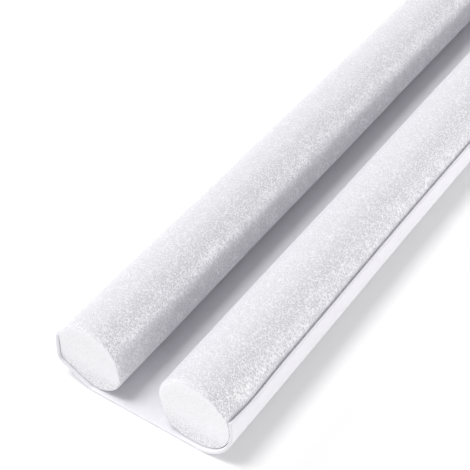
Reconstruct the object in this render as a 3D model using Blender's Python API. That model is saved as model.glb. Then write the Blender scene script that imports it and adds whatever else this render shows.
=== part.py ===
"""Twin draught excluder for a door: two foam rolls held in one carrier sheet.

The sheet lies flat under the door. Its two long edges curl up round the outer sides of the rolls
and end in a free cut edge. Y runs along the rolls, X across the door and Z up, in metres. The
floor is at Z = 0.
"""

import math

import bmesh
import bpy

# Driving sizes of the whole
LENGTH = 0.900
ROLL_SPACING = 0.1028
SHEET_THICKNESS = 0.003
PIECE_GAP = 0.00045

# The sheet rests on the floor with a flat strip under the door. Beside the strip it rises a little
# to pass under the rolls
STRIP_WIDTH = 0.076
STRIP_STEP = 0.0003
UNDER_ROLL_HEIGHT = SHEET_THICKNESS + STRIP_STEP

# Ends of the sheet: cut on a slant, this far back at this height, and how fast the inward lean
# of the near corner fades
END_CUT_BACK = 0.003
END_CUT_HEIGHT = 0.051
CORNER_FADE = 0.012

# Sizes that both rolls share
ROLL_INSET = 0.003
END_ROUNDING = 0.0025
FLAT_SPOT_DEPTH = 0.0009
PRESS_SOFTNESS = 0.0005
PRESS_FADE = 0.15
WAVE_HEIGHT = 0.0002

# Each side of the door. Angles are in degrees, from straight down towards the outer side. A press
# is a place where the round foam is pushed flat: its direction, then how far the flat lies from
# the roll's centre line at the near end and far from it.
SIDES = {
    "right": {
        "outward": 1,
        "radius": 0.0340,
        "presses": ((-75.0, 0.0321, 0.0327),),
        "wave_length": 0.37,
        "stand_off": 0.0015,
        "edge_height": 0.0508,
        "corner_lean": 6.0,
    },
    "left": {
        "outward": -1,
        "radius": 0.0333,
        "presses": (
            (-100.0, 0.0317, 0.0325),
            (27.4, 0.0284, 0.0312),
            (90.0, 0.0306, 0.0310),
        ),
        "wave_length": 0.29,
        "stand_off": 0.00045,
        "edge_height": 0.0440,
        "corner_lean": 0.0,
    },
}

# How the free edges rise and dip: distance from the near end, right edge, left edge
EDGE_WAVES = (
    (0.000, 0.0000, 0.0018),
    (0.034, -0.0020, -0.0004),
    (0.078, 0.0000, 0.0003),
    (0.250, 0.0002, -0.0005),
    (0.450, -0.0002, 0.0006),
    (0.680, 0.0006, 0.0000),
    (0.860, -0.0005, -0.0008),
    (0.900, 0.0003, -0.0002),
)

# Mesh steps
ROUND_STEP = 10
CURL_ANGLES = range(-10, 91, ROUND_STEP)
STAND_OFF_ANGLES = (10.0, 45.0)
END_STATIONS = (0.010, 0.022, 0.034, 0.052, 0.078, 0.110)
STATION_STEP = 0.053
END_RINGS = 3
PRESS_REACH = 60.0
FREE_EDGE_SHARES = (0.5, 1.0)
SHARP_ANGLE = 40.0

# Finishes: colour, roughness
FOAM_FINISH = ((0.86, 0.85, 0.89, 1.0), 0.95)
SHEET_FINISH = ((0.92, 0.91, 0.95, 1.0), 0.55)


def remove_scene_objects():
    """Empty the scene that the script starts in."""
    for obj in list(bpy.data.objects):
        bpy.data.objects.remove(obj, do_unlink=True)


def smooth_step(value):
    """Ease from 0 to 1."""
    value = min(1.0, max(0.0, value))
    return value * value * (3.0 - 2.0 * value)


def soft_minimum(values, softness):
    """Smallest of the values, with the change from one to the next rounded off."""
    lowest = min(values)
    total = sum(math.exp((lowest - value) / softness) for value in values)
    return lowest - softness * math.log(total)


def edge_wave(side, distance):
    """How much the side's free edge rises or dips at a distance from the near end."""
    column = 1 if side["outward"] > 0 else 2
    for row, following in zip(EDGE_WAVES, EDGE_WAVES[1:]):
        if distance <= following[0]:
            share = smooth_step((distance - row[0]) / (following[0] - row[0]))
            return row[column] + share * (following[column] - row[column])
    return EDGE_WAVES[-1][column]


def centre_height(side):
    """Height of the roll's centre line, with its flat spot a gap above the sheet."""
    return UNDER_ROLL_HEIGHT + PIECE_GAP + side["radius"] - FLAT_SPOT_DEPTH


def roll_reach(side, angle, distance):
    """Distance from the roll's centre line to its surface, before the flat spot is cut."""
    nearness = math.exp(-distance / PRESS_FADE)
    reaches = [side["radius"]]
    for direction, near, far in side["presses"]:
        facing = math.cos(math.radians(angle - direction))
        if facing > math.cos(math.radians(PRESS_REACH)):
            reaches.append((far + (near - far) * nearness) / facing)
    wave = WAVE_HEIGHT * math.sin(2.0 * math.pi * distance / side["wave_length"])
    return soft_minimum(reaches, PRESS_SOFTNESS) + wave


def around(side, angle, reach, lowest):
    """World X and Z of a point round the roll, no lower than the given height."""
    turn = math.radians(angle)
    across = side["outward"] * (ROLL_SPACING / 2.0 + reach * math.sin(turn))
    return across, max(lowest, centre_height(side) - reach * math.cos(turn))


def roll_section(side, distance, inset=0.0):
    """Outline of the roll across its length, as X and Z points."""
    lowest = UNDER_ROLL_HEIGHT + PIECE_GAP + inset
    return [
        around(side, angle, roll_reach(side, angle, distance) - inset, lowest)
        for angle in range(-180, 180, ROUND_STEP)
    ]


def curl_section(side, distance):
    """Inner face of one curled edge, from the flat strip under the door to the free edge."""
    first, last = STAND_OFF_ANGLES
    points = [(side["outward"] * STRIP_WIDTH / 2.0, SHEET_THICKNESS)]
    for angle in CURL_ANGLES:
        share = smooth_step((angle - first) / (last - first))
        stand_off = PIECE_GAP + share * (side["stand_off"] - PIECE_GAP)
        reach = roll_reach(side, angle, distance) + stand_off
        points.append(around(side, angle, reach, UNDER_ROLL_HEIGHT))
    across, height = points[-1]
    rise = side["edge_height"] + edge_wave(side, distance) - height
    lean = math.tan(math.radians(side["corner_lean"])) * math.exp(-distance / CORNER_FADE)
    for share in FREE_EDGE_SHARES:
        points.append((across - side["outward"] * rise * share * lean, height + rise * share))
    return points


def outer_face(inner):
    """The sheet's other face, one thickness away, with the strip on the floor."""
    outer = []
    for index, (across, height) in enumerate(inner):
        if height <= SHEET_THICKNESS:
            outer.append((across, 0.0))
            continue
        before = inner[max(index - 1, 0)]
        after = inner[min(index + 1, len(inner) - 1)]
        run, rise = after[0] - before[0], after[1] - before[1]
        size = math.hypot(run, rise) / SHEET_THICKNESS
        outer.append((across + rise / size, height - run / size))
    return outer


def sheet_section(distance):
    """Closed outline of the sheet across its length, inner face first."""
    left = curl_section(SIDES["left"], distance)
    inner = left[::-1] + curl_section(SIDES["right"], distance)
    return inner + outer_face(inner)[::-1]


def stations(inset):
    """Distances from the near end at which the sections stand, closer together at the ends."""
    near = [inset] + [inset + step for step in END_STATIONS]
    far = [LENGTH - station for station in reversed(near)]
    count = round((far[0] - near[-1]) / STATION_STEP)
    middle = [near[-1] + (far[0] - near[-1]) * index / count for index in range(1, count)]
    return near + middle + far


def loft(rings):
    """Mesh that joins the rings of points one after the other, open at both ends."""
    mesh = bmesh.new()
    loops = [[mesh.verts.new(point) for point in ring] for ring in rings]
    for loop, following in zip(loops, loops[1:]):
        for index in range(len(loop)):
            after = (index + 1) % len(loop)
            mesh.faces.new((loop[index], loop[after], following[after], following[index]))
    return mesh, loops


def place_ring(section, distance, slant=0.0):
    """Section points stood up at a distance from the near end, moved along by slant times height."""
    return [(across, distance - LENGTH / 2.0 + slant * height, height) for across, height in section]


def finish_object(name, mesh, finish, parent):
    """Turn the mesh into a named object with its own material, under the parent."""
    colour, roughness = finish
    bmesh.ops.recalc_face_normals(mesh, faces=mesh.faces)
    data = bpy.data.meshes.new(name)
    mesh.to_mesh(data)
    mesh.free()
    data.shade_smooth()
    data.set_sharp_from_angle(angle=math.radians(SHARP_ANGLE))
    material = bpy.data.materials.new(name + "_finish")
    material.use_nodes = True
    shader = material.node_tree.nodes["Principled BSDF"]
    shader.inputs["Base Color"].default_value = colour
    shader.inputs["Roughness"].default_value = roughness
    data.materials.append(material)
    obj = bpy.data.objects.new(name, data)
    obj.parent = parent
    bpy.context.scene.collection.objects.link(obj)
    return obj


def make_roll(name, side, parent):
    """Foam roll with a small flat spot below, its square ends rounded a little at the edge."""
    lengthwise = stations(ROLL_INSET)
    rounding = []
    for ring in range(END_RINGS + 1):
        turn = 0.5 * math.pi * ring / END_RINGS
        rounding.append((END_ROUNDING * (1.0 - math.sin(turn)), END_ROUNDING * (1.0 - math.cos(turn))))
    rings = [
        place_ring(roll_section(side, lengthwise[0], inset), lengthwise[0] + depth)
        for inset, depth in rounding
    ]
    for distance in lengthwise[1:-1]:
        rings.append(place_ring(roll_section(side, distance), distance))
    rings += [
        place_ring(roll_section(side, lengthwise[-1], inset), lengthwise[-1] - depth)
        for inset, depth in reversed(rounding)
    ]
    mesh, loops = loft(rings)
    mesh.faces.new(loops[0])
    mesh.faces.new(loops[-1])
    return finish_object(name, mesh, FOAM_FINISH, parent)


def make_sheet(name, parent):
    """Carrier sheet: flat under the door, curled up round the outer side of each roll."""
    lengthwise = stations(0.0)
    slants = [0.0] * len(lengthwise)
    slants[0] = END_CUT_BACK / END_CUT_HEIGHT
    slants[-1] = -END_CUT_BACK / END_CUT_HEIGHT
    rings = [
        place_ring(sheet_section(distance), distance, slant)
        for distance, slant in zip(lengthwise, slants)
    ]
    mesh, loops = loft(rings)
    for loop in (loops[0], loops[-1]):
        for index in range(len(loop) // 2 - 1):
            mesh.faces.new((loop[index], loop[index + 1], loop[-2 - index], loop[-1 - index]))
    return finish_object(name, mesh, SHEET_FINISH, parent)


def main():
    """Build the three pieces and set the middle of their footprint on the origin."""
    remove_scene_objects()
    base = bpy.data.objects.new("base", None)
    bpy.context.scene.collection.objects.link(base)
    make_roll("roll_left", SIDES["left"], base)
    make_roll("roll_right", SIDES["right"], base)
    sheet = make_sheet("carrier_sheet", base)
    across = [vertex.co.x for vertex in sheet.data.vertices]
    base.location.x = -(min(across) + max(across)) / 2.0


main()
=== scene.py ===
"""Twin draught excluder: the finished foam rolls, their carrier sheet and a plain studio."""

import math

import bmesh
import bpy
import numpy as np
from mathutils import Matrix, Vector, noise


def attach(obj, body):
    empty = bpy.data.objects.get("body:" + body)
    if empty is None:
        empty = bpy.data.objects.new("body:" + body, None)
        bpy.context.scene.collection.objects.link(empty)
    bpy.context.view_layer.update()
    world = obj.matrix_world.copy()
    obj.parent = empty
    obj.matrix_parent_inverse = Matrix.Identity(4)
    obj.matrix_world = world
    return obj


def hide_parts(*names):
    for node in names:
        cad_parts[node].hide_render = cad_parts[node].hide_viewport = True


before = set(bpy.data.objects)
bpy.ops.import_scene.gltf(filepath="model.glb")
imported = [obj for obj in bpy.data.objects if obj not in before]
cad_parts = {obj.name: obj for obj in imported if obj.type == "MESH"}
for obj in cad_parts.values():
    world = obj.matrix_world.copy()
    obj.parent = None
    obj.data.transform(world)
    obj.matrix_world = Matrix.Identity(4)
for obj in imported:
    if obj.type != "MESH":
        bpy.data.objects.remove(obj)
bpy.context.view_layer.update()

bl_info = {
    "name": "Twin draught excluder",
    "version": (1, 0, 0),
    "blender": (4, 5, 0),
    "location": "3D View > Sidebar > Excluder",
    "description": "Two foam rolls held in a curled carrier sheet, with their finishes and a studio",
    "category": "Object",
}

# Driving sizes, the same as in the solids
LENGTH = 0.900
ROLL_SPACING = 0.1028
SHEET_THICKNESS = 0.003
PIECE_GAP = 0.00045
STRIP_WIDTH = 0.076
STRIP_STEP = 0.0003
UNDER_ROLL_HEIGHT = SHEET_THICKNESS + STRIP_STEP
END_CUT_BACK = 0.003
END_CUT_HEIGHT = 0.051
CORNER_FADE = 0.012
ROLL_INSET = 0.003
END_ROUNDING = 0.0025
FLAT_SPOT_DEPTH = 0.0009
PRESS_SOFTNESS = 0.0005
PRESS_FADE = 0.15
PRESS_REACH = 60.0
WAVE_HEIGHT = 0.0002
STAND_OFF_ANGLES = (10.0, 45.0)

# Middle of the strip, from the middle of the footprint
STRIP_MIDDLE = -0.00204

# Each side of the door. Angles are in degrees, from straight down towards the outer side. A press
# is a place where the round foam is pushed flat: its direction, then how far the flat lies from
# the roll's centre line at the near end and far from it. The swelling fills the space that the
# sheet leaves beside the roll, and the seed sets the roll's own unevenness.
SIDES = {
    "right": {
        "outward": 1,
        "radius": 0.0340,
        "presses": ((-75.0, 0.0321, 0.0327),),
        "wave_length": 0.37,
        "stand_off": 0.0015,
        "edge_height": 0.0508,
        "corner_lean": 6.0,
        "swelling": 0.0010,
        "seed": 3.0,
    },
    "left": {
        "outward": -1,
        "radius": 0.0333,
        "presses": (
            (-100.0, 0.0317, 0.0325),
            (27.4, 0.0284, 0.0312),
            (90.0, 0.0306, 0.0310),
        ),
        "wave_length": 0.29,
        "stand_off": 0.00045,
        "edge_height": 0.0440,
        "corner_lean": 0.0,
        "swelling": 0.0,
        "seed": 11.0,
    },
}

# How the free edges rise and dip: distance from the near end, right edge, left edge
EDGE_WAVES = (
    (0.000, 0.0000, 0.0018),
    (0.034, -0.0020, -0.0004),
    (0.078, 0.0000, 0.0003),
    (0.250, 0.0002, -0.0005),
    (0.450, -0.0002, 0.0006),
    (0.680, 0.0006, 0.0000),
    (0.860, -0.0005, -0.0008),
    (0.900, 0.0003, -0.0002),
)

# Mesh steps of the foam rolls
ROLL_POINTS = 160
ROLL_STEP = 0.0020
ROLL_END_RINGS = 6
CAP_RINGS = 16

# Relief of the foam skin and of the cut ends: size of the lumps, depth. Skin relief only goes
# inward, so the roll stays clear of the sheet, and it fades towards the ends
SKIN_LUMPS = ((0.0048, 0.00016), (0.022, 0.00012))
SKIN_FADE = 0.012
CUT_LUMPS = ((0.0035, 0.00006), (0.020, 0.00025))
LUMP_CONTRAST = 0.7

# Rounding of the cut ends, as shares of the driving size: least low on the outer side, where the
# sheet holds the foam, and most beyond the given turn from there
ROUNDING_SHARES = (0.30, 1.35)
ROUNDING_LEAST_AT = 30.0
ROUNDING_TURNS = (70.0, 120.0)
ROUNDING_UNEVENNESS = 0.30
ROUNDING_WAVES = 2.0

# Swelling beside the sheet: where it fades out above, and the foam pushed out over the sheet's edge
SWELLING_END_ANGLES = (105.0, 140.0)
BULGE_ANGLE = 112.0
BULGE_SPREAD = 14.0
BULGE_SHARE = 1.1
BULGE_FADE = 0.050

# Mesh steps of the carrier sheet
CURL_ANGLES = (-10.0, 90.0)
CURL_POINTS = 41
STRIP_POINTS = 9
FREE_EDGE_POINTS = 6
SHEET_STEP = 0.006
SHEET_END_STEP = 0.002
SHEET_END_REACH = 0.040
EDGE_ROUNDING_RINGS = 4
MOST_ROUNDING_SHARE = 0.45
END_SLANT_FADE = 0.010

# Where the foam's finish changes. Facing is how far the surface's direction points along the roll
# for the cut ends, and to the right for the rest. After the cut ends come: where painted shade
# between the beads is strongest, on the side facing right, away from the key light; where most of
# that painted shade is taken off again next to the sheet's edge, and how much, which paints the
# crease lighter; and where painted highlight specks and glints go
CUT_FACING = (0.86, 0.99)
SHADED_FACING = (-0.12, 0.82)
LIT_CREASE_FACING = (0.80, 0.95)
LIT_CREASE_SHARE = 0.8
GLINT_SIDE_FACING = (0.52, 0.78)

# Foam patterns: sizes as shares of the bead, then where each one starts and is full. The bright
# specks, clumps and glints of the skin are painted highlights, and the last pattern makes the cut
# ends darker towards the bottom
FOLD_SIZE = 1.5
CRUMB_SIZE = 0.5
GLINT_CLUMP_SIZE = 9.0
GLINT_SIZE = 1.6
GLINT_STRETCH = (0.70, 1.10, 0.70)
FOLD_WIDTHS = (0.0, 0.10)
TOPS = (0.42, 0.88)
HIGHLIGHT_SPECKS = (0.58, 0.68)
GLINT_CLUMPS = (0.40, 0.62)
GLINTS = (0.49, 0.61)
FLECKS = (0.30, 0.66)
LOW_SPECKS = (0.42, 0.62)

# Foam patterns: how much each one counts
BEAD_SHARE = 0.30
FOLD_SHARE = 0.45
CRUMB_SHARE = 0.50
CUT_RELIEF_SHARE = 0.6
# Painted highlights: extra bright specks on the side facing right, and how much the glints count
GLINT_SIDE_SPECKS = 0.06
GLINT_SHARE = 0.85
FULL_LOW_SPECKS_SHARE = 0.3
FOAM_ROUGHNESS = 0.56
TOPS_GLOSS = 0.26
FOAM_SPECULAR = 0.6
FOAM_GLOW = 0.35

# Where the sheet is cut: end faces by their facing, free edges by their upward facing and height
END_FACING = (0.55, 0.90)
EDGE_FACING = (0.35, 0.75)
EDGE_HEIGHTS = (0.034, 0.038)

# Sheet patterns: sizes, where the mottle starts and is full, and how much each one counts
MOTTLE_SIZE = 0.006
GRAIN_SIZE = 0.0009
GRAIN_DEPTH = 0.00008
MOTTLE = (0.35, 0.65)
MOTTLE_SHARE = 0.8
SHEET_ROUGHNESS = 0.42
MOTTLE_ROUGHNESS = 0.16
SHEET_RELIEF = 0.6
SHEET_SPECULAR = 0.35

# Studio. A distant light has its place and its spread in radians, an area light its place and size
KEY_LIGHT = ((-0.50, -0.24, 1.93), 0.40)
SIDE_LIGHT = ((-1.74, -0.50, 0.84), 0.70)
RIM_LIGHT = ((1.60, 0.90, 0.45), (1.40, 0.25))
FRONT_LIGHT = ((1.45, -1.95, 0.60), (1.00, 1.00))
CAMERA_PLACE = (0.42456, -0.9432, 0.8153)
CAMERA_FORWARD = (-0.4069, 0.6027, -0.6864)
CAMERA_LENS = 97.21
CAMERA_SENSOR = 36.0
FLOOR_SIZE = 60.0


def smooth_step(value):
    """Ease from 0 to 1."""
    value = min(1.0, max(0.0, value))
    return value * value * (3.0 - 2.0 * value)


def soft_minimum(values, softness):
    """Smallest of the rows of values, with the change from one to the next rounded off."""
    lowest = np.min(values, axis=0)
    return lowest - softness * np.log(np.sum(np.exp((lowest - values) / softness), axis=0))


def edge_wave(side, distance):
    """How much the side's free edge rises or dips at a distance from the near end."""
    column = 1 if side["outward"] > 0 else 2
    for row, following in zip(EDGE_WAVES, EDGE_WAVES[1:]):
        if distance <= following[0]:
            share = smooth_step((distance - row[0]) / (following[0] - row[0]))
            return row[column] + share * (following[column] - row[column])
    return EDGE_WAVES[-1][column]


def centre_height(side):
    """Height of the roll's centre line."""
    return UNDER_ROLL_HEIGHT + PIECE_GAP + side["radius"] - FLAT_SPOT_DEPTH


def centre_across(side):
    """World X of the roll's centre line."""
    return STRIP_MIDDLE + side["outward"] * ROLL_SPACING / 2.0


def along(distance):
    """World Y at a distance from the near end."""
    return distance - LENGTH / 2.0


def roll_reach(side, angles, distance):
    """Distances from the roll's centre line to its surface, for an array of angles."""
    nearness = math.exp(-distance / PRESS_FADE)
    reaches = [np.full(len(angles), side["radius"])]
    for direction, near, far in side["presses"]:
        facing = np.cos(np.radians(angles - direction))
        pressed = facing > math.cos(math.radians(PRESS_REACH))
        depth = far + (near - far) * nearness
        reaches.append(np.where(pressed, depth / np.where(pressed, facing, 1.0), 1.0))
    wave = WAVE_HEIGHT * math.sin(2.0 * math.pi * distance / side["wave_length"])
    return soft_minimum(np.array(reaches), PRESS_SOFTNESS) + wave


def around(side, angles, reaches, lowest):
    """World X and Z round the roll as two columns, no lower than the given height."""
    turns = np.radians(angles)
    across = centre_across(side) + side["outward"] * reaches * np.sin(turns)
    heights = np.maximum(lowest, centre_height(side) - reaches * np.cos(turns))
    return np.column_stack((across, heights))


def ramp(values, low, high):
    """Ease from 0 at low to 1 at high, for an array of values."""
    return np.array([smooth_step((value - low) / (high - low)) for value in values])


def quarter_turns(steps):
    """Angles in radians of a rounding, from 0 to a quarter turn."""
    return [0.5 * math.pi * step / steps for step in range(steps + 1)]


def lumps(point, seed, table):
    """Depth of the relief at a point, from 0 to the sum of the table's depths."""
    depth = 0.0
    for size, most in table:
        value = noise.noise(Vector(point) / size + Vector((seed, 0.0, 0.0)))
        depth += most * min(1.0, max(0.0, 0.5 + LUMP_CONTRAST * value))
    return depth


def make_object(name, rings, caps, material):
    """Closed object from rings of points, with a point or a fold closing each end."""
    mesh = bmesh.new()
    loops = [[mesh.verts.new(point) for point in ring] for ring in rings]
    for loop, following in zip(loops, loops[1:]):
        for index in range(len(loop)):
            after = (index + 1) % len(loop)
            mesh.faces.new((loop[index], loop[after], following[after], following[index]))
    caps(mesh, loops)
    bmesh.ops.recalc_face_normals(mesh, faces=mesh.faces)
    data = bpy.data.meshes.new(name)
    mesh.to_mesh(data)
    mesh.free()
    data.shade_smooth()
    data.materials.append(material)
    obj = bpy.data.objects.new(name, data)
    bpy.context.scene.collection.objects.link(obj)
    return obj


def fan_caps(mesh, loops):
    """Close both ends of a roll with a fan round the middle of the smallest ring."""
    for loop in (loops[0], loops[-1]):
        middle = sum((vertex.co for vertex in loop), Vector()) / len(loop)
        hub = mesh.verts.new(middle)
        for index in range(len(loop)):
            mesh.faces.new((loop[index], loop[(index + 1) % len(loop)], hub))


def fold_caps(mesh, loops):
    """Close both ends of the sheet by joining its inner face to its outer face."""
    for loop in (loops[0], loops[-1]):
        for index in range(len(loop) // 2 - 1):
            mesh.faces.new((loop[index], loop[index + 1], loop[-2 - index], loop[-1 - index]))


def rounding_shares(angles, seed):
    """How round the cut edge is at each angle, as a share of the driving size."""
    low, high = ROUNDING_SHARES
    rise = ramp(np.abs(angles - ROUNDING_LEAST_AT), *ROUNDING_TURNS)
    turns = np.radians(angles)
    waves = np.array([
        noise.noise(Vector((math.cos(turn), math.sin(turn), seed)) * ROUNDING_WAVES) for turn in turns
    ])
    return (low + (high - low) * rise) * (1.0 + ROUNDING_UNEVENNESS * waves)


def roll_rings(side):
    """Rings of one roll: cap, rounded edge, the long skin, rounded edge, cap."""
    angles = np.arange(ROLL_POINTS) * 360.0 / ROLL_POINTS - 180.0
    middle = np.array((centre_across(side), centre_height(side)))
    seed = side["seed"]
    rounding = END_ROUNDING * rounding_shares(angles, seed)
    ending = 1.0 - ramp(angles, *SWELLING_END_ANGLES)
    swelling = side["swelling"] * ramp(angles, *STAND_OFF_ANGLES) * ending
    pushed_out = np.exp(-((angles - BULGE_ANGLE) / BULGE_SPREAD) ** 2)
    bulge = side["swelling"] * BULGE_SHARE * pushed_out

    def section(distance, inset):
        lowest = UNDER_ROLL_HEIGHT + PIECE_GAP + inset
        away = smooth_step(min(distance, LENGTH - distance) / BULGE_FADE)
        reaches = roll_reach(side, angles, distance) + swelling + bulge * away - inset
        return around(side, angles, reaches, lowest)

    def cap_ring(end, inward, share):
        points = middle + share * (section(end, rounding) - middle)
        ring = []
        for x, z in points:
            depth = lumps((x, seed, z), seed, CUT_LUMPS) * (1.0 - share ** 4)
            ring.append((x, along(end) + inward * depth, z))
        return ring

    def rounded_ring(end, inward, turn):
        points = section(end, rounding * (1.0 - math.sin(turn)))
        depths = rounding * (1.0 - math.cos(turn))
        return [(x, along(end) + inward * depth, z) for (x, z), depth in zip(points, depths)]

    def skin_ring(distance):
        fade = smooth_step(min(distance - near, far - distance) / SKIN_FADE)
        ring = []
        for place in section(distance, 0.0):
            depth = fade * lumps((place[0], distance, place[1]), seed, SKIN_LUMPS)
            outward = place - middle
            x, z = place - outward / np.hypot(*outward) * depth
            ring.append((x, along(distance), z))
        return ring

    def end_rings(end, inward):
        caps = [
            cap_ring(end, inward, math.sqrt(ring / CAP_RINGS)) for ring in range(1, CAP_RINGS + 1)
        ]
        turns = quarter_turns(ROLL_END_RINGS)[1:]
        return caps + [rounded_ring(end, inward, turn) for turn in turns]

    near, far = ROLL_INSET, LENGTH - ROLL_INSET
    first, last = near + 2.0 * END_ROUNDING, far - 2.0 * END_ROUNDING
    count = round((last - first) / ROLL_STEP)
    skin = [skin_ring(distance) for distance in np.linspace(first, last, count + 1)]
    return end_rings(near, 1.0) + skin + end_rings(far, -1.0)[::-1]


def curl_section(side, distance, inset):
    """Inner face of one curled edge, from the strip's edge to the free edge."""
    angles = np.linspace(*CURL_ANGLES, CURL_POINTS)
    shares = ramp(angles, *STAND_OFF_ANGLES)
    stand_offs = PIECE_GAP + shares * (side["stand_off"] - PIECE_GAP) + inset
    reaches = roll_reach(side, angles, distance) + stand_offs
    points = around(side, angles, reaches, UNDER_ROLL_HEIGHT - inset)
    strip_edge = STRIP_MIDDLE + side["outward"] * STRIP_WIDTH / 2.0
    start = np.array((strip_edge, SHEET_THICKNESS - inset))
    across, height = points[-1]
    rise = side["edge_height"] + edge_wave(side, distance) - inset - height
    lean = math.tan(math.radians(side["corner_lean"])) * math.exp(-distance / CORNER_FADE)
    shares = np.arange(1, FREE_EDGE_POINTS + 1) / FREE_EDGE_POINTS
    straight = np.column_stack((
        across - side["outward"] * rise * shares * lean,
        height + rise * shares,
    ))
    return np.vstack((start[None, :], points, straight))


def sheet_section(distance, inset, rounding):
    """Closed outline of the sheet across its length, inner face first."""
    left = curl_section(SIDES["left"], distance, inset)
    right = curl_section(SIDES["right"], distance, inset)
    shares = np.arange(1, STRIP_POINTS)[:, None] / STRIP_POINTS
    strip = left[0] + shares * (right[0] - left[0])
    inner = np.vstack((left[::-1], strip, right))
    before = np.vstack((inner[:1], inner[:-1]))
    after = np.vstack((inner[1:], inner[-1:]))
    runs = after - before
    runs /= np.hypot(runs[:, 0], runs[:, 1])[:, None]
    facing = np.column_stack((runs[:, 1], -runs[:, 0]))
    thickness = SHEET_THICKNESS - 2.0 * inset
    outer = inner + facing * thickness
    on_strip = inner[:, 1] <= SHEET_THICKNESS - inset + 1e-7
    outer[on_strip, 0] = inner[on_strip, 0]
    outer[on_strip, 1] = inset
    return round_free_edges(inner, outer, runs, min(rounding, MOST_ROUNDING_SHARE * thickness))


def round_free_edges(inner, outer, runs, rounding):
    """Round off the two cut edges of the outline."""

    def arc(corner, across, upward):
        return np.array([
            corner
            + across * rounding * (1.0 - math.cos(turn))
            - upward * rounding * (1.0 - math.sin(turn))
            for turn in quarter_turns(EDGE_ROUNDING_RINGS)
        ])

    edges = []
    for index, upward in ((0, -runs[0]), (-1, runs[-1])):
        across = outer[index] - inner[index]
        across /= np.hypot(*across)
        edges.append((arc(inner[index], across, upward), arc(outer[index], -across, upward)))
    (left_inner, left_outer), (right_inner, right_outer) = edges
    inside = np.vstack((left_inner[::-1], inner[1:-1], right_inner))
    outside = np.vstack((left_outer[::-1], outer[1:-1], right_outer))
    return np.vstack((inside, outside[::-1]))


def sheet_stations():
    """Distances from the near end, closer together at both ends."""
    near = list(np.arange(SHEET_END_STEP, SHEET_END_REACH, SHEET_END_STEP))
    count = round((LENGTH - 2.0 * SHEET_END_REACH) / SHEET_STEP)
    middle = list(np.linspace(SHEET_END_REACH, LENGTH - SHEET_END_REACH, count + 1))
    return near + middle + [LENGTH - station for station in reversed(near)]


def sheet_rings(rounding):
    """Rings of the sheet, with both cut ends slanted and their edges rounded."""
    slope = END_CUT_BACK / END_CUT_HEIGHT

    def ring(distance, inset, depth, slant):
        points = sheet_section(distance, inset, rounding)
        return [(x, along(distance) + depth + slant * z, z) for x, z in points]

    def end_rings(distance, inward):
        rings = []
        for turn in quarter_turns(EDGE_ROUNDING_RINGS):
            inset = rounding * (1.0 - math.sin(turn))
            depth = rounding * (1.0 - math.cos(turn))
            rings.append(ring(distance, inset, inward * depth, inward * slope))
        return rings

    rings = end_rings(0.0, 1.0)
    for distance in sheet_stations():
        near_fade = 1.0 - smooth_step(distance / END_SLANT_FADE)
        far_fade = 1.0 - smooth_step((LENGTH - distance) / END_SLANT_FADE)
        rings.append(ring(distance, 0.0, 0.0, slope * (near_fade - far_fade)))
    return rings + end_rings(LENGTH, -1.0)[::-1]


class Wire:
    """An output socket on which Python's operators add Math nodes."""

    def __init__(self, finish, socket):
        self.finish = finish
        self.socket = socket

    def maths(self, operation, *values):
        """Add a Math node for an operation on numbers and wires."""
        node = self.finish.node("ShaderNodeMath", {"operation": operation}, dict(enumerate(values)))
        return self.finish.wire(node)

    def __add__(self, other):
        return self.maths("ADD", self, other)

    def __sub__(self, other):
        return self.maths("SUBTRACT", self, other)

    def __mul__(self, other):
        return self.maths("MULTIPLY", self, other)

    def __radd__(self, other):
        return self.maths("ADD", other, self)

    def __rsub__(self, other):
        return self.maths("SUBTRACT", other, self)

    def __rmul__(self, other):
        return self.maths("MULTIPLY", other, self)

    def __abs__(self):
        return self.maths("ABSOLUTE", self)


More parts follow.
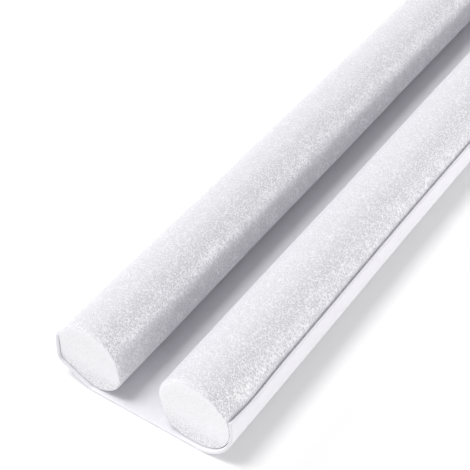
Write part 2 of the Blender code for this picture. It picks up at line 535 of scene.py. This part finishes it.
class Finish:
    """A material and the nodes of its surface."""

    def __init__(self, name):
        self.material = bpy.data.materials.new(name)
        self.material.use_nodes = True
        tree = self.material.node_tree
        self.nodes = tree.nodes
        self.links = tree.links
        self.shader = self.nodes["Principled BSDF"]

    def node(self, kind, settings=None, sockets=None):
        """Add a node: its type, its settings, then values or wires for its sockets."""
        node = self.nodes.new(kind)
        for key, value in (settings or {}).items():
            setattr(node, key, value)
        self.feed(node, sockets or {})
        return node

    def feed(self, node, sockets):
        """Set values or links on a node's input sockets."""
        for key, value in sockets.items():
            if isinstance(value, Wire):
                self.links.new(value.socket, node.inputs[key])
            else:
                node.inputs[key].default_value = value

    def wire(self, node, output=0):
        """Wrap an output socket."""
        return Wire(self, node.outputs[output])

    def place(self):
        """Position on the surface, in metres."""
        return self.wire(self.node("ShaderNodeTexCoord"), "Object")

    def facing(self):
        """Direction that the surface faces."""
        return self.wire(self.node("ShaderNodeNewGeometry"), "Normal")

    def axes(self, vector):
        """The three parts of a vector."""
        node = self.node("ShaderNodeSeparateXYZ", None, {"Vector": vector})
        return [self.wire(node, axis) for axis in "XYZ"]

    def ramp(self, value, low, high):
        """Ease from 0 at low to 1 at high."""
        settings = {"interpolation_type": "SMOOTHSTEP"}
        sockets = {"Value": value, "From Min": low, "From Max": high}
        return self.wire(self.node("ShaderNodeMapRange", settings, sockets), "Result")

    def speckle(self, place, size, detail=2.0):
        """Cloudy noise from about 0 to 1 with lumps of the given size in metres."""
        sockets = {"Vector": place, "Scale": 1.0 / size, "Detail": detail}
        return self.wire(self.node("ShaderNodeTexNoise", None, sockets), "Fac")

    def stretch(self, place, shares):
        """Position scaled along each axis, which lengthens the pattern where the share is small."""
        node = self.node("ShaderNodeVectorMath", {"operation": "MULTIPLY"}, {0: place, 1: shares})
        return self.wire(node, "Vector")

    def cells(self, place, size, feature="F1"):
        """Distance from the middle of the nearest cell, 0 at the middle."""
        sockets = {"Vector": place, "Scale": 1.0 / size}
        return self.wire(self.node("ShaderNodeTexVoronoi", {"feature": feature}, sockets), "Distance")

    def blend(self, share, first, second):
        """Mix of two colours."""
        node = self.node("ShaderNodeMix", {"data_type": "RGBA"})
        self.feed(node, {"Factor": share})
        for index, colour in ((6, first), (7, second)):
            if isinstance(colour, Wire):
                self.links.new(colour.socket, node.inputs[index])
            else:
                node.inputs[index].default_value = (*colour, 1.0)
        return self.wire(node, 2)

    def bump(self, height, distance, strength):
        """Surface relief that feeds the shader's Normal."""
        sockets = {"Height": height, "Distance": distance, "Strength": strength}
        return self.wire(self.node("ShaderNodeBump", None, sockets), "Normal")


def foam_finish(settings):
    """White foam: wrinkled bead skin along the roll and finer cut cells on its ends, with painted shade
    between the beads, painted highlights on the side facing right and darker specks low on the ends.
    """
    finish = Finish("bead_foam")
    place = finish.place()
    height = finish.axes(place)[2]
    aside, lengthwise, _ = finish.axes(finish.facing())
    cut = finish.ramp(abs(lengthwise), *CUT_FACING)
    # Painted shade between the beads, strongest on the side facing right and taken off next to the sheet's
    # edge, where the crease is painted lighter; painted highlights on the side facing right
    lit_crease = finish.ramp(aside, *LIT_CREASE_FACING)
    shaded = finish.ramp(aside, *SHADED_FACING) * (1.0 - LIT_CREASE_SHARE * lit_crease)
    glint_side = finish.ramp(aside, *GLINT_SIDE_FACING)

    bead = settings.bead_size
    beads = 1.0 - finish.cells(place, bead, "SMOOTH_F1")
    wrinkles = finish.speckle(place, bead * FOLD_SIZE, 1.0)
    folds = 1.0 - finish.ramp(abs(wrinkles - 0.5), *FOLD_WIDTHS)
    crumbs = finish.speckle(place, bead * CRUMB_SIZE)
    skin = beads * BEAD_SHARE + folds * FOLD_SHARE + crumbs * CRUMB_SHARE
    fine = finish.cells(place, settings.cut_cell_size) * 0.5 + crumbs * 0.5
    relief = skin * (1.0 - cut) + fine * cut * CUT_RELIEF_SHARE

    tops = finish.ramp(skin, *TOPS)
    # The colour between the bead tops is painted shade, darker on the side facing right
    crease_shade = finish.blend(shaded, settings.shallow_shade_colour, settings.crease_shade_colour)
    skin_colour = finish.blend(tops, crease_shade, settings.skin_colour)
    # Painted highlight specks, most on the side facing right
    highlight_specks = finish.ramp(crumbs + GLINT_SIDE_SPECKS * glint_side, *HIGHLIGHT_SPECKS) * shaded
    skin_colour = finish.blend(highlight_specks, skin_colour, settings.highlight_colour)
    # Painted highlight glints, in clumps, on the side facing right
    glint_clumps = finish.ramp(finish.speckle(place, bead * GLINT_CLUMP_SIZE), *GLINT_CLUMPS)
    stretched = finish.stretch(place, GLINT_STRETCH)
    glints = finish.ramp(finish.speckle(stretched, bead * GLINT_SIZE), *GLINTS) * glint_side
    skin_colour = finish.blend(glints * glint_clumps * GLINT_SHARE, skin_colour, settings.highlight_colour)

    flecks = finish.ramp(fine, *FLECKS)
    cut_colour = finish.blend(flecks, settings.cut_colour, settings.fleck_colour)
    # Darker specks on the cut ends towards the bottom
    low_speck_top = settings.low_speck_height
    low = 1.0 - finish.ramp(height, low_speck_top * FULL_LOW_SPECKS_SHARE, low_speck_top)
    low_specks = finish.ramp(finish.speckle(place, bead), *LOW_SPECKS) * low
    cut_colour = finish.blend(low_specks, cut_colour, settings.low_speck_colour)
    finish.feed(finish.shader, {
        "Base Color": finish.blend(cut, skin_colour, cut_colour),
        "Roughness": FOAM_ROUGHNESS - TOPS_GLOSS * tops,
        "Specular IOR Level": FOAM_SPECULAR,
        "Subsurface Weight": FOAM_GLOW,
        "Subsurface Radius": (1.0, 1.0, 1.0),
        "Subsurface Scale": settings.glow_depth,
        "Normal": finish.bump(relief, settings.bead_depth, 1.0),
    })
    return finish.material


def sheet_finish(settings):
    """Smooth white flexible sheet with a faint mottle and duller cut edges."""
    finish = Finish("carrier_sheet_face")
    place = finish.place()
    height = finish.axes(place)[2]
    _, lengthwise, upward = finish.axes(finish.facing())
    top_cut = finish.ramp(upward, *EDGE_FACING) * finish.ramp(height, *EDGE_HEIGHTS)
    end_cut = finish.ramp(abs(lengthwise), *END_FACING)
    cut = 1.0 - (1.0 - top_cut) * (1.0 - end_cut)
    mottle = finish.speckle(place, MOTTLE_SIZE, 3.0)
    grain = finish.speckle(place, GRAIN_SIZE)
    patches = finish.ramp(mottle * MOTTLE_SHARE + grain * (1.0 - MOTTLE_SHARE), *MOTTLE)
    face = finish.blend(patches, settings.mottle_colour, settings.face_colour)
    finish.feed(finish.shader, {
        "Base Color": finish.blend(cut, face, settings.cut_edge_colour),
        "Roughness": SHEET_ROUGHNESS + MOTTLE_ROUGHNESS * mottle,
        "Specular IOR Level": SHEET_SPECULAR,
        "Normal": finish.bump(mottle * 0.5 + grain * 0.5, GRAIN_DEPTH, SHEET_RELIEF),
    })
    return finish.material


def floor_finish(settings):
    """Plain pale floor."""
    finish = Finish("studio_floor")
    finish.feed(finish.shader, {
        "Base Color": (*settings.floor_colour, 1.0),
        "Roughness": 0.9,
        "Specular IOR Level": 0.0,
    })
    return finish.material


def colour_property(name, description, default):
    """A colour that the user can change."""
    return bpy.props.FloatVectorProperty(
        name=name, description=description, default=default, min=0.0, max=1.0,
        subtype="COLOR", size=3,
    )


def length_property(name, description, default):
    """A length that the user can change."""
    return bpy.props.FloatProperty(
        name=name, description=description, default=default, min=0.0,
        subtype="DISTANCE", unit="LENGTH", precision=5,
    )


class ExcluderRollSettings(bpy.types.PropertyGroup):
    """Sizes and colours of the foam rolls."""

    bead_size: length_property("Bead size", "Size of the beads in the foam's skin", 0.0014)
    bead_depth: length_property("Bead depth", "Height of the relief between beads", 0.0004)
    glow_depth: length_property("Glow depth", "How deep light soaks into the foam", 0.004)
    cut_cell_size: length_property("Cut cell size", "Size of the cells on the cut ends", 0.0011)
    skin_colour: colour_property("Skin colour", "Colour of the beads", (0.90, 0.89, 0.935))
    # Painted shade between the beads: the first colour on the side facing right, the second on the side
    # facing left
    crease_shade_colour: colour_property(
        "Crease colour", "Colour between crinkled beads", (0.55, 0.544, 0.575)
    )
    shallow_shade_colour: colour_property(
        "Shallow colour", "Colour between smoother beads", (0.72, 0.713, 0.75)
    )
    # Colour of the painted highlight specks and glints
    highlight_colour: colour_property(
        "Sparkle colour", "Colour of the brightest beads", (0.97, 0.96, 1.0)
    )
    cut_colour: colour_property("Cut colour", "Colour of the cut ends", (0.93, 0.922, 0.955))
    fleck_colour: colour_property(
        "Fleck colour", "Colour of the cells on the cut ends", (0.82, 0.813, 0.845)
    )
    # Darker specks on the cut ends towards the bottom, below the given height
    low_speck_colour: colour_property(
        "Scuff colour", "Colour of the crushed cells low on the ends", (0.62, 0.613, 0.645)
    )
    low_speck_height: length_property(
        "Scuff height", "Height below which the cut ends are scuffed", 0.032
    )


class ExcluderSheetSettings(bpy.types.PropertyGroup):
    """Sizes and colours of the carrier sheet."""

    edge_rounding: length_property("Edge rounding", "Radius of the sheet's cut edges", 0.0007)
    face_colour: colour_property("Face colour", "Colour of the sheet", (0.84, 0.832, 0.872))
    mottle_colour: colour_property(
        "Mottle colour", "Colour of the sheet's faint mottle", (0.82, 0.812, 0.852)
    )
    cut_edge_colour: colour_property(
        "Cut edge colour", "Colour of the sheet's cut edges", (0.78, 0.773, 0.81)
    )


class ExcluderStageSettings(bpy.types.PropertyGroup):
    """Floor and light of the studio."""

    floor_colour: colour_property("Floor colour", "Colour of the floor", (0.95, 0.95, 0.95))
    key_strength: bpy.props.FloatProperty(
        name="Key strength", description="Strength of the light from above", default=1.48, min=0.0
    )
    side_strength: bpy.props.FloatProperty(
        name="Side strength", description="Strength of the soft light from the left", default=1.30, min=0.0
    )
    rim_power: bpy.props.FloatProperty(
        name="Rim power", description="Power of the low light from the right and behind",
        default=13.0, unit="POWER",
    )
    front_power: bpy.props.FloatProperty(
        name="Front power", description="Power of the soft light from the right and in front",
        default=7.5, unit="POWER",
    )
    ambient: bpy.props.FloatProperty(
        name="Ambient", description="Strength of the light from all round", default=0.42, subtype="FACTOR"
    )


class ExcluderMakeRolls(bpy.types.Operator):
    """Make both foam rolls in place of their solids"""

    bl_idname = "excluder.make_rolls"
    bl_label = "Make foam rolls"

    def execute(self, context):
        material = foam_finish(context.scene.excluder_rolls)
        for name, side in (("roll_left", "left"), ("roll_right", "right")):
            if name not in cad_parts:
                raise RuntimeError("the packed model has no node " + name)
            roll = make_object("foam_" + name, roll_rings(SIDES[side]), fan_caps, material)
            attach(roll, "root")
            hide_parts(name)
        return {"FINISHED"}


class ExcluderMakeSheet(bpy.types.Operator):
    """Make the carrier sheet in place of its solid"""

    bl_idname = "excluder.make_sheet"
    bl_label = "Make carrier sheet"

    def execute(self, context):
        settings = context.scene.excluder_sheet
        if "carrier_sheet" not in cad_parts:
            raise RuntimeError("the packed model has no node carrier_sheet")
        rings = sheet_rings(settings.edge_rounding)
        sheet = make_object("curled_carrier_sheet", rings, fold_caps, sheet_finish(settings))
        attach(sheet, "root")
        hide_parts("carrier_sheet")
        return {"FINISHED"}


class ExcluderMakeStage(bpy.types.Operator):
    """Make the floor, the lights and the camera"""

    bl_idname = "excluder.make_stage"
    bl_label = "Make stage"

    def execute(self, context):
        settings = context.scene.excluder_stage
        half = FLOOR_SIZE / 2.0
        data = bpy.data.meshes.new("studio_floor")
        corners = [(-half, -half, 0.0), (half, -half, 0.0), (half, half, 0.0), (-half, half, 0.0)]
        data.from_pydata(corners, [], [(0, 1, 2, 3)])
        data.materials.append(floor_finish(settings))
        floor = bpy.data.objects.new("studio_floor", data)
        context.scene.collection.objects.link(floor)

        add_distant_light("key_light", *KEY_LIGHT, settings.key_strength)
        add_distant_light("side_light", *SIDE_LIGHT, settings.side_strength)
        add_area_light("rim_light", *RIM_LIGHT, settings.rim_power)
        add_area_light("front_light", *FRONT_LIGHT, settings.front_power)
        world = bpy.data.worlds.new("studio_world")
        world.use_nodes = True
        background = world.node_tree.nodes["Background"]
        background.inputs["Color"].default_value = (1.0, 1.0, 1.0, 1.0)
        background.inputs["Strength"].default_value = settings.ambient
        context.scene.world = world

        lens = bpy.data.cameras.new("studio_camera")
        lens.lens = CAMERA_LENS
        lens.sensor_width = CAMERA_SENSOR
        camera = bpy.data.objects.new("studio_camera", lens)
        camera.location = CAMERA_PLACE
        camera.rotation_euler = Vector(CAMERA_FORWARD).to_track_quat("-Z", "Y").to_euler()
        context.scene.collection.objects.link(camera)
        context.scene.camera = camera
        context.scene.view_settings.view_transform = "Standard"
        return {"FINISHED"}


def add_light(name, kind, place):
    """Light of the given kind that faces the middle of the object."""
    data = bpy.data.lights.new(name, kind)
    light = bpy.data.objects.new(name, data)
    light.location = place
    light.rotation_euler = (-Vector(place)).to_track_quat("-Z", "Y").to_euler()
    bpy.context.scene.collection.objects.link(light)
    return data


def add_distant_light(name, place, spread, strength):
    """Even light from far away, with soft shadows by its spread in radians."""
    data = add_light(name, "SUN", place)
    data.angle = spread
    data.energy = strength


def add_area_light(name, place, sizes, power):
    """Area light, so wide and so high."""
    data = add_light(name, "AREA", place)
    data.shape = "RECTANGLE"
    data.size, data.size_y = sizes
    data.energy = power


class ExcluderPanel(bpy.types.Panel):
    """Lists the pieces and their settings"""

    bl_idname = "EXCLUDER_PT_pieces"
    bl_label = "Twin draught excluder"
    bl_space_type = "VIEW_3D"
    bl_region_type = "UI"
    bl_category = "Excluder"

    def draw(self, context):
        for operator, group in (
            (ExcluderMakeStage, "excluder_stage"),
            (ExcluderMakeRolls, "excluder_rolls"),
            (ExcluderMakeSheet, "excluder_sheet"),
        ):
            box = self.layout.box()
            box.operator(operator.bl_idname)
            settings = getattr(context.scene, group)
            for key in settings.__annotations__:
                box.prop(settings, key)


CLASSES = (
    ExcluderRollSettings,
    ExcluderSheetSettings,
    ExcluderStageSettings,
    ExcluderMakeStage,
    ExcluderMakeRolls,
    ExcluderMakeSheet,
    ExcluderPanel,
)


def register():
    """Register the classes and hang their settings on the scene."""
    for item in CLASSES:
        bpy.utils.register_class(item)
    bpy.types.Scene.excluder_rolls = bpy.props.PointerProperty(type=ExcluderRollSettings)
    bpy.types.Scene.excluder_sheet = bpy.props.PointerProperty(type=ExcluderSheetSettings)
    bpy.types.Scene.excluder_stage = bpy.props.PointerProperty(type=ExcluderStageSettings)


def unregister():
    """Take the settings and classes away again."""
    del bpy.types.Scene.excluder_stage
    del bpy.types.Scene.excluder_sheet
    del bpy.types.Scene.excluder_rolls
    for item in reversed(CLASSES):
        bpy.utils.unregister_class(item)


def main():
    """Make every piece and the stage."""
    register()
    bpy.ops.excluder.make_stage()
    bpy.ops.excluder.make_rolls()
    bpy.ops.excluder.make_sheet()


if __name__ == "__main__":
    main()
